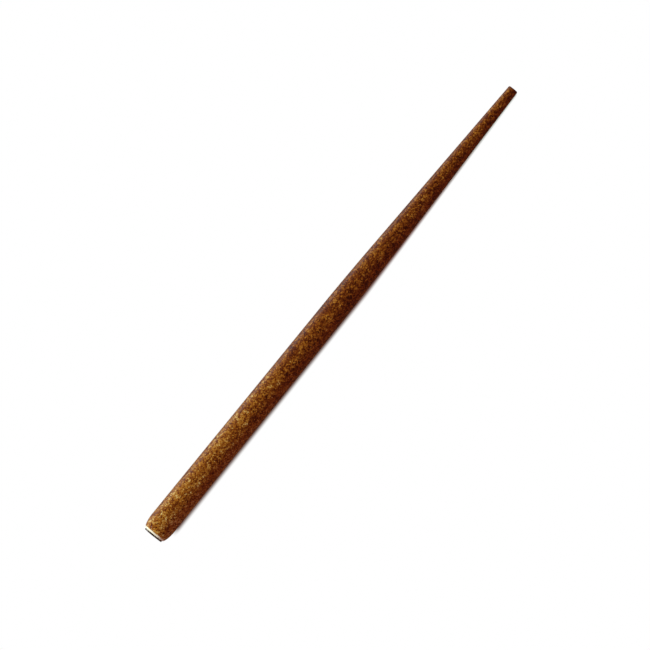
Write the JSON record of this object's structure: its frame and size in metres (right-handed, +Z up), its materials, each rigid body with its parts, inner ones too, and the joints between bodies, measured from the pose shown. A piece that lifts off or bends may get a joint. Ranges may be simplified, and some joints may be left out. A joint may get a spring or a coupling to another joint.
{
  "type": "dip pen holder",
  "caption": "Straight wooden dip pen holder in mottled brown lacquer, tapering to the tail, with a sprung metal clip in its mouth that grips a nib.",
  "frame": {"origin": "on the table, under the middle of the pen's length as it lies on its side", "axes": "+X along the pen from its mouth to its tail, +Z up, +Y across"},
  "size_m": [0.175, 0.0088, 0.0088],
  "materials": {
    "lacquered_wood": "mottled brown gloss lacquer",
    "nickel_plate": "bright nickel plate",
    "spring_steel": "stamped and rolled spring sheet"
  },
  "bodies": {
    "holder": {"shaft_nose": "lacquered_wood", "holder_shaft": "lacquered_wood", "ferrule_sleeve": "nickel_plate", "claw_collar": "spring_steel"},
    "leaf_1": {"claw_leaf_1": "spring_steel"},
    "leaf_2": {"claw_leaf_2": "spring_steel"},
    "leaf_3": {"claw_leaf_3": "spring_steel"},
    "leaf_4": {"claw_leaf_4": "spring_steel"}
  },
  "joints": [
    {"name": "leaf_1_flex", "type": "hinge", "parent": "holder", "child": "leaf_1", "pos_m": [-0.0783, 0, 0.00712], "axis": [0, -1, 0], "range_deg": [0, 5], "stiffness_Nm_per_rad": 0.16},
    {"name": "leaf_2_flex", "type": "hinge", "parent": "holder", "child": "leaf_2", "pos_m": [-0.0783, -0.00272, 0.0044], "axis": [0, 0, -1], "range_deg": [0, 5], "stiffness_Nm_per_rad": 0.16},
    {"name": "leaf_3_flex", "type": "hinge", "parent": "holder", "child": "leaf_3", "pos_m": [-0.0783, 0, 0.00167], "axis": [0, 1, 0], "range_deg": [0, 5], "stiffness_Nm_per_rad": 0.16},
    {"name": "leaf_4_flex", "type": "hinge", "parent": "holder", "child": "leaf_4", "pos_m": [-0.0783, 0.00272, 0.0044], "axis": [0, 0, 1], "range_deg": [0, 5], "stiffness_Nm_per_rad": 0.16}
  ]
}
